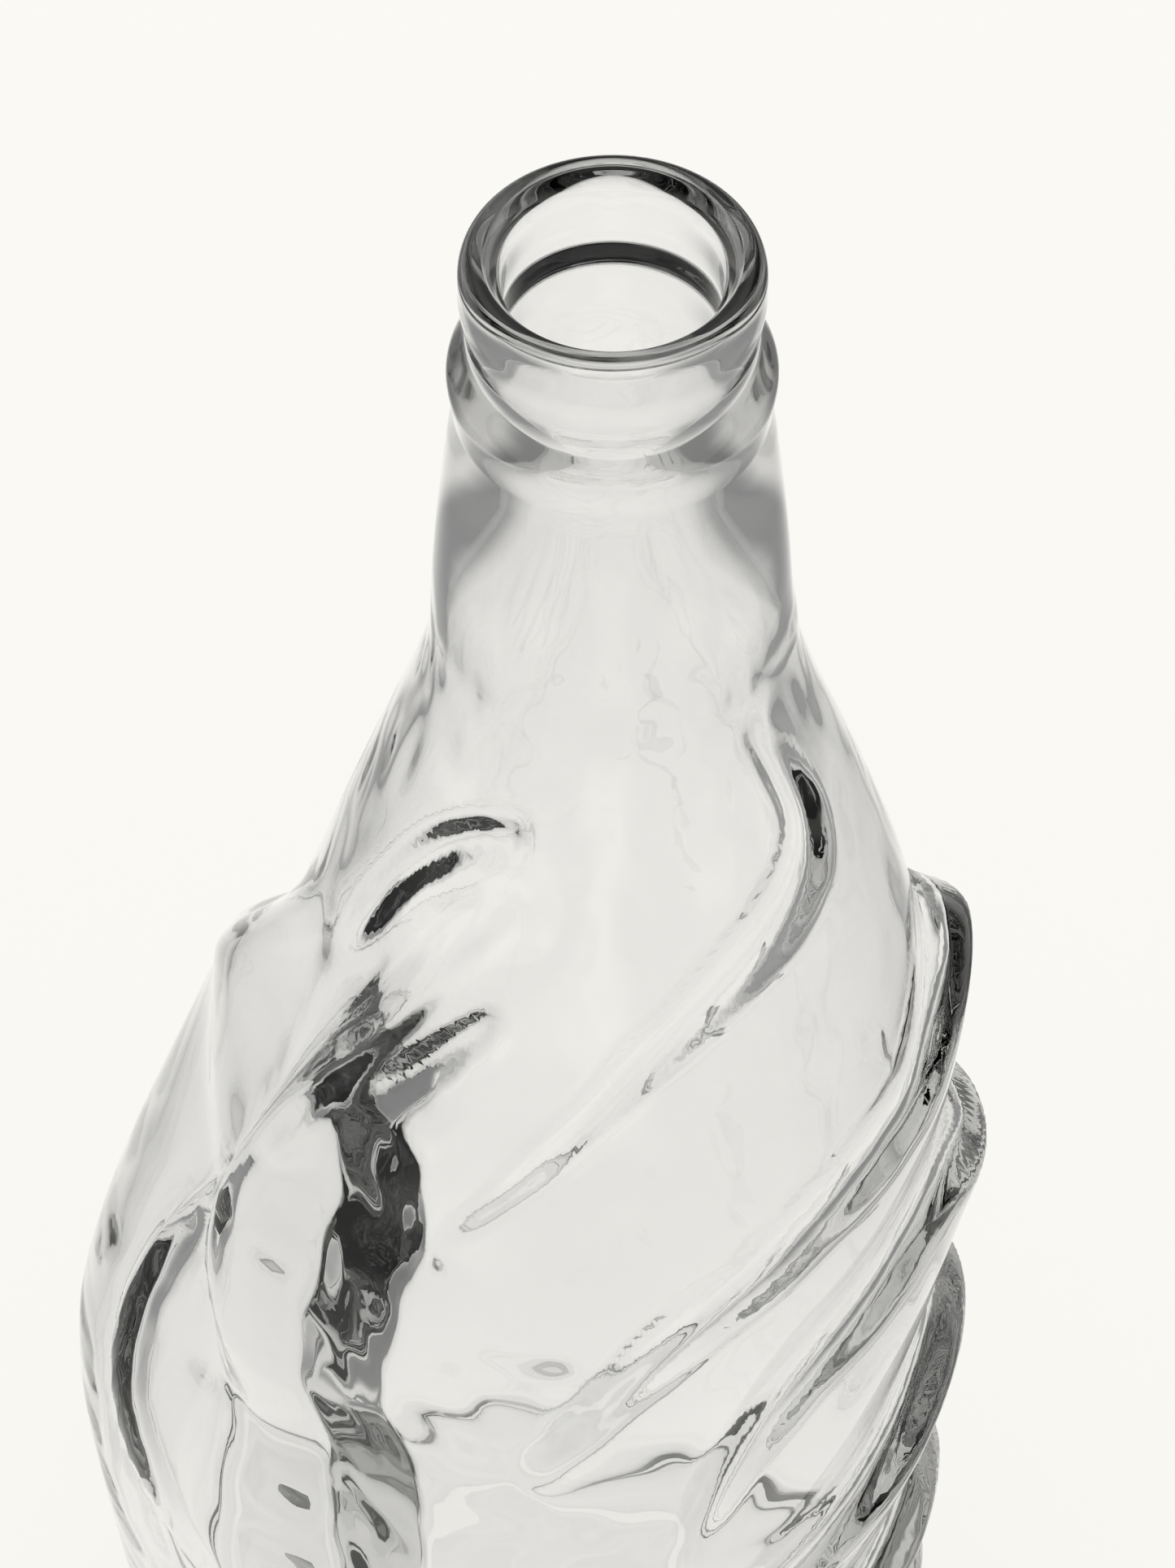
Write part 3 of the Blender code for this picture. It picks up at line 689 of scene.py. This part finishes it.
# %% How far each vertex moves out
INNER_FOLLOW = 0.5
LEAST_OFF = 0.0012
BACK_START = 75.0
BACK_EASE = 20.0
wall_depth = np.where(is_inner, np.minimum(depth, INNER_HEEL_TOP), np.minimum(depth, HEEL_TOP))
slow = lean_and_trefoil(turn, wall_depth) + wing(turn, wall_depth)
outer_ledges = swirl(outer_sheet, turn, wall_depth)
from_front = np.abs((turn + 180.0) % 360.0 - 180.0)
to_back = smooth((from_front - BACK_START) / BACK_EASE)
follow = INNER_FOLLOW + (1.0 - INNER_FOLLOW) * to_back
inner_ledges = follow * swirl(inner_sheet, turn, wall_depth)
inner_ledges = np.minimum(inner_ledges, outer_ledges + LEAST_OFF)
inner_ledges -= swirl(folds, turn, wall_depth)
lift = slow + np.where(is_inner, inner_ledges, outer_ledges)
print(f"largest lift {1000 * lift.max():.1f} mm")

# %% [markdown]
# At the heel the walls blend into a round base, which stands 4.6 mm left of the neck. A vertex on
# the wall moves by its whole lift, one on the base ring by none of it, and those between by a
# share.

# %% Press the swirl in
floor_radius = np.where(is_inner, INNER_FLOOR_RADIUS, STANDING_RADIUS)
wall_foot = np.where(is_inner, inside_radius(INNER_HEEL_TOP), body_radius(HEEL_TOP))
on_wall = np.clip((out - floor_radius) / (wall_foot - floor_radius), 0.0, 1.0)
on_wall = np.where(depth > wall_depth + TINY, on_wall, 1.0)
radius = out + lift * on_wall
shift = (1.0 - on_wall) * LEAN
lean_turn = np.radians(LEAN_TURN)
places[:, 0] = radius * np.sin(turned) + shift * np.sin(lean_turn) + AXIS_X
places[:, 1] = -radius * np.cos(turned) - shift * np.cos(lean_turn) + AXIS_Y
print("vertices on the base:", int((on_wall < 1.0).sum()))

# %% [markdown]
# This mesh reaches a little further into the ledges' tops than the CAD one, so it is drawn in by a
# fraction of a per cent to stay inside the CAD box.

# %% Keep inside the CAD box
SPARE = 0.00004
for side in (0, 1):
    low, high = places[:, side].min(), places[:, side].max()
    room = bottle_high[side] - bottle_low[side] - 2.0 * SPARE
    scale = min(1.0, room / (high - low))
    middle = (bottle_high[side] + bottle_low[side]) / 2.0
    places[:, side] = (places[:, side] - (low + high) / 2.0) * scale + middle
    print("XY"[side], f"scaled by {scale:.4f}, moved {1000 * (middle - (low + high) / 2.0):.2f} mm")
bottle.data.vertices.foreach_set("co", places.ravel())
bottle.data.update()

# %% [markdown]
# Faces have to point out of the glass everywhere, into the room on the outer skin and into the
# hollow on the inner one, or the light would bend the wrong way. Smooth shading rounds the facets.

# %% Close and shade the mesh
DOUBLES = 0.000005
bpy.ops.object.mode_set(mode="EDIT")
bpy.ops.mesh.select_all(action="SELECT")
bpy.ops.mesh.remove_doubles(threshold=DOUBLES)
bpy.ops.mesh.normals_make_consistent(inside=False)
bpy.ops.object.mode_set(mode="OBJECT")
bpy.ops.object.shade_smooth()
sizes = np.array(bottle.dimensions) * 1000.0
print(len(bottle.data.polygons), "faces, sizes in mm:", sizes.round(2))

# %% [markdown]
# ## Helpers for materials
# Colours are written as hex values, as the eye names them, and turned to the linear values that
# shaders use. One function adds a node with its settings, its values and its links: a name that
# starts with an underscore and a number is the socket at that place in the node's list.

# %% Helpers for materials
def srgb(text):
    """A hex colour as the eye names it, turned to the linear values that shaders use."""
    values = np.array([int(text[i : i + 2], 16) for i in (1, 3, 5)]) / 255.0
    linear = np.where(values <= 0.04045, values / 12.92, ((values + 0.055) / 1.055) ** 2.4)
    return (*map(float, linear), 1.0)


def add_node(tree, kind, settings=None, **links):
    """One node with its settings, its socket values and its incoming links."""
    node = tree.nodes.new(kind)
    for key, value in (settings or {}).items():
        setattr(node, key, value)
    for key, value in links.items():
        place = int(key[1:]) if key[1:].isdigit() else key.replace("_", " ")
        socket = node.inputs[place]
        if isinstance(value, bpy.types.NodeSocket):
            tree.links.new(value, socket)
        else:
            socket.default_value = value
    return node


def new_material(name):
    """An empty material and its node tree."""
    material = bpy.data.materials.new(name)
    material.use_nodes = True
    material.node_tree.nodes.clear()
    return material, material.node_tree


print("mid grey #808080 in linear values:", round(srgb("#808080")[0], 3))

# %% [markdown]
# ## Clear soda-lime glass
# Bottle glass is silica with soda and lime, blown into an iron mould. It bends light with an IOR of
# about 1.52 and is polished by fire, so it is mirror smooth and its surface has no colour. What
# tone it has comes from its depth: light loses a little for every millimetre of glass, so a thin
# wall stays clear and the lip and the folds, where light runs a long way inside, go dark. The loss
# here is stronger than in ordinary clear glass, so that this shows.

# %% The glass
glass, tree = new_material("clear_soda_lime_glass")
surface = add_node(
    tree, "ShaderNodeBsdfPrincipled",
    Base_Color=srgb("#FFFFFF"), Roughness=0.0, IOR=1.52, Transmission_Weight=1.0,
)
inside = add_node(
    tree, "ShaderNodeVolumeAbsorption", Color=srgb("#7C7E7D"), Density=20.0,
)
add_node(tree, "ShaderNodeOutputMaterial", Surface=surface.outputs[0], Volume=inside.outputs[0])
bottle.data.materials.clear()
bottle.data.materials.append(glass)
print(glass.name, "has", len(tree.nodes), "nodes")

# %% [markdown]
# ## The studio
# Glass is lit by its surroundings. The camera sees plain pale paper under and behind the bottle.
# Light that has been bent or mirrored by the glass sees the same paper with soft grey bands, like
# grey cards laid beside and in front of it, and they give the glass its edges. Each band has four
# limits: where it starts, where it is full, and where it starts and ends going out again.

# %% A soft band
def soft_band(tree, value, low, high, far_low, far_high):
    """1 between high and far_low, 0 below low and above far_high, with soft edges."""
    on = add_node(tree, "ShaderNodeMapRange", {"interpolation_type": "SMOOTHSTEP"},
                  _0=value, _1=low, _2=high)
    off = add_node(tree, "ShaderNodeMapRange", {"interpolation_type": "SMOOTHSTEP"},
                   _0=value, _1=far_low, _2=far_high, _3=1.0, _4=0.0)
    return add_node(tree, "ShaderNodeMath", {"operation": "MULTIPLY"},
                    _0=on.outputs[0], _1=off.outputs[0]).outputs[0]


PAPER = "#FBFAF6"
print("paper in linear values:", [round(value, 3) for value in srgb(PAPER)[:3]])

# %% [markdown]
# The floor is one sheet of matt paper. Most of what the camera and the glass see of it is its own
# even glow, so that it stays as pale as its colour, and the rest is lit, so that it takes the
# bottle's shadow. All other light meets plain matt paper.

# %% Pale floor
FLOOR_SIZE = 6.0
PAPER_GLOW = 0.85
bpy.ops.object.select_all(action="DESELECT")
bpy.ops.mesh.primitive_plane_add(size=FLOOR_SIZE, location=(0.0, 0.0, 0.0))
floor = bpy.context.object
floor.name = "paper_floor"
paper, tree = new_material("matt_white_paper")
rays = add_node(tree, "ShaderNodeLightPath")
bent = add_node(tree, "ShaderNodeMath", {"operation": "MAXIMUM"},
                _0=rays.outputs["Is Glossy Ray"], _1=rays.outputs["Is Transmission Ray"])
seen = add_node(tree, "ShaderNodeMath", {"operation": "MAXIMUM"},
                _0=bent.outputs[0], _1=rays.outputs["Is Camera Ray"])
share = add_node(tree, "ShaderNodeMath", {"operation": "MULTIPLY"},
                 _0=seen.outputs[0], _1=PAPER_GLOW)
print("floor", FLOOR_SIZE, "m wide")

# %% The floor's bands and shader
BESIDE = (0.05, 0.17, 0.30, 0.50)
BEFORE = (-0.44, -0.26, -0.18, -0.09)
spot = add_node(tree, "ShaderNodeTexCoord")
spot = add_node(tree, "ShaderNodeSeparateXYZ", _0=spot.outputs["Object"])
sideways = add_node(tree, "ShaderNodeMath", {"operation": "ABSOLUTE"}, _0=spot.outputs["X"])
beside = soft_band(tree, sideways.outputs[0], *BESIDE)
before = soft_band(tree, spot.outputs["Y"], *BEFORE)
tone = add_node(tree, "ShaderNodeMix", {"data_type": "RGBA"},
                _0=beside, _6=srgb(PAPER), _7=srgb("#949494"))
tone = add_node(tree, "ShaderNodeMix", {"data_type": "RGBA"},
                _0=before, _6=tone.outputs[2], _7=srgb("#9C9C9C"))
tone = add_node(tree, "ShaderNodeMix", {"data_type": "RGBA"},
                _0=bent.outputs[0], _6=srgb(PAPER), _7=tone.outputs[2])
glow = add_node(tree, "ShaderNodeEmission", Color=tone.outputs[2], Strength=1.0)
matt = add_node(tree, "ShaderNodeBsdfDiffuse", Color=tone.outputs[2])
mixed = add_node(tree, "ShaderNodeMixShader",
                 Fac=share.outputs[0], _1=matt.outputs[0], _2=glow.outputs[0])
add_node(tree, "ShaderNodeOutputMaterial", Surface=mixed.outputs[0])
floor.data.materials.append(paper)
print(paper.name, "has", len(tree.nodes), "nodes")

# %% [markdown]
# The room is an even pale light from all round, which is all that the camera and the lit surfaces
# see. In the glass it has a grey band between a low and a high level, darker to the two sides.

# %% Room light
SIDES_START, SIDES_FULL = 0.30, 0.70
GREY_LEVELS = (0.08, 0.28, 0.62, 0.80)
world = bpy.data.worlds.new("studio_room")
bpy.context.scene.world = world
world.use_nodes = True
tree = world.node_tree
tree.nodes.clear()
rays = add_node(tree, "ShaderNodeLightPath")
direction = add_node(tree, "ShaderNodeTexCoord")
split = add_node(tree, "ShaderNodeSeparateXYZ", _0=direction.outputs["Generated"])
sideways = add_node(tree, "ShaderNodeMath", {"operation": "ABSOLUTE"}, _0=split.outputs["X"])
side = add_node(tree, "ShaderNodeMapRange", {"interpolation_type": "SMOOTHSTEP"},
                _0=sideways.outputs[0], _1=SIDES_START, _2=SIDES_FULL)
wall = add_node(tree, "ShaderNodeMix", {"data_type": "RGBA"},
                _0=side.outputs[0], _6=srgb("#A0A0A0"), _7=srgb("#2A2A2A"))
level = soft_band(tree, split.outputs["Z"], *GREY_LEVELS)
bands = add_node(tree, "ShaderNodeMix", {"data_type": "RGBA"},
                 _0=level, _6=srgb(PAPER), _7=wall.outputs[2])
bent = add_node(tree, "ShaderNodeMath", {"operation": "MAXIMUM"},
                _0=rays.outputs["Is Glossy Ray"], _1=rays.outputs["Is Transmission Ray"])
seen = add_node(tree, "ShaderNodeMix", {"data_type": "RGBA"},
                _0=bent.outputs[0], _6=srgb(PAPER), _7=bands.outputs[2])
room = add_node(tree, "ShaderNodeBackground", Color=seen.outputs[2], Strength=1.0)
add_node(tree, "ShaderNodeOutputWorld", Surface=room.outputs[0])
print(world.name, "has", len(tree.nodes), "nodes")

# %% [markdown]
# Light that a fold throws into the wall bounces along it many times before it comes out. With few
# bounces allowed, such places would turn black, so glass gets plenty.

# %% Colour and bounces
BOUNCES = 32
bpy.context.scene.view_settings.view_transform = "Standard"
light_paths = bpy.context.scene.cycles
light_paths.max_bounces = BOUNCES
light_paths.transmission_bounces = BOUNCES
light_paths.glossy_bounces = BOUNCES
print("bounces:", light_paths.max_bounces)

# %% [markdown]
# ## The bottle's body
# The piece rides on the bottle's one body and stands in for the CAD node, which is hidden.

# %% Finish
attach(bottle, "root")
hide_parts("bottle")
